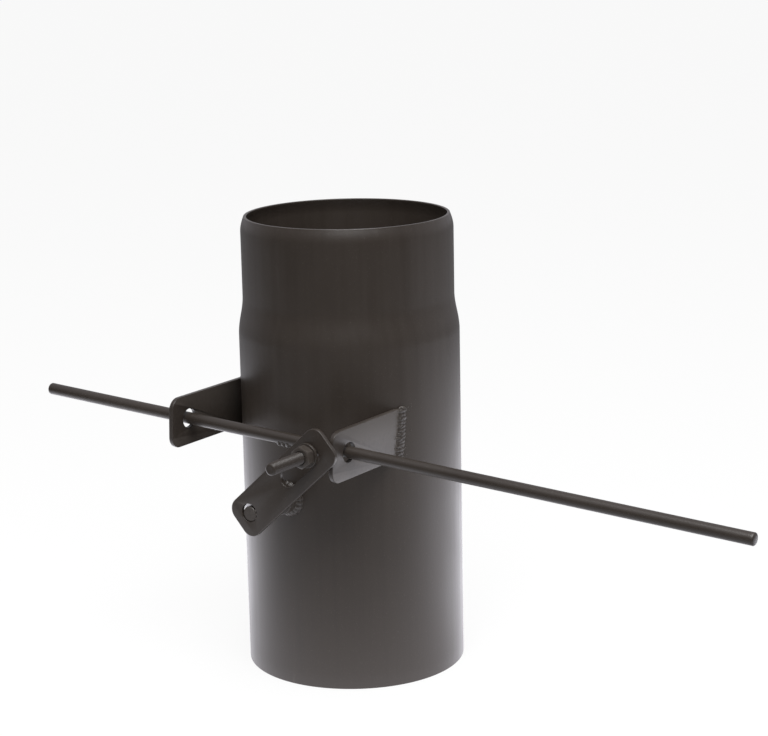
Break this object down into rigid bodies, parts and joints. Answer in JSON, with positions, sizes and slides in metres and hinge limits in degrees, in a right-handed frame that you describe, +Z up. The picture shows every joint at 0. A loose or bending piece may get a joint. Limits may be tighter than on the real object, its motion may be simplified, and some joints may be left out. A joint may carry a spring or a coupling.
{
  "type": "stove pipe",
  "caption": "Round flue pipe with a narrowed upper end, an inside damper disc and a sliding control rod with a slotted crank plate on welded brackets.",
  "frame": {"origin": "centre of the pipe's lower end, on the pipe's axis", "axes": "+Z up along the pipe's axis to the narrowed end, -Y to the front where the linkage is, +X to the long end of the control rod"},
  "size_m": [0.5317, 0.242, 0.31],
  "materials": {
    "pipe_paint": "satin heat-proof paint",
    "linkage_paint": "satin heat-proof paint",
    "weld_paint": "painted over rough weld",
    "fixings": "thinly painted zinc steel",
    "disc_steel": "matt heat-proof paint"
  },
  "bodies": {
    "pipe_body": {"pipe": "pipe_paint", "front_boss": "linkage_paint", "rear_boss": "linkage_paint", "front_boss_weld": "weld_paint", "rear_boss_weld": "weld_paint", "left_bracket": "linkage_paint", "right_bracket": "linkage_paint", "left_bracket_weld": "weld_paint", "right_bracket_weld": "weld_paint"},
    "rod_body": {"control_rod": "linkage_paint", "stud": "fixings", "stud_weld": "weld_paint", "rod_bead": "weld_paint", "stud_washer": "fixings", "stud_nut": "fixings"},
    "damper_body": {"spindle": "fixings", "crank_plate": "linkage_paint", "crank_weld": "weld_paint", "damper_disc": "disc_steel", "disc_bolts": "fixings", "disc_nuts": "fixings"}
  },
  "joints": [
    {"name": "damper_turn", "type": "hinge", "parent": "pipe_body", "child": "damper_body", "pos_m": [0, 0, 0.13], "axis": [0, -1, 0], "range_deg": [0, 90]},
    {"name": "rod_slide", "type": "slide", "parent": "pipe_body", "child": "rod_body", "axis": [-0.999, 0, 0.0454], "range_m": [0, 0.09048]}
  ],
  "couplings": [
    {"joint": "rod_slide", "follows": "damper_turn", "m_per_rad": 0.0576}
  ]
}
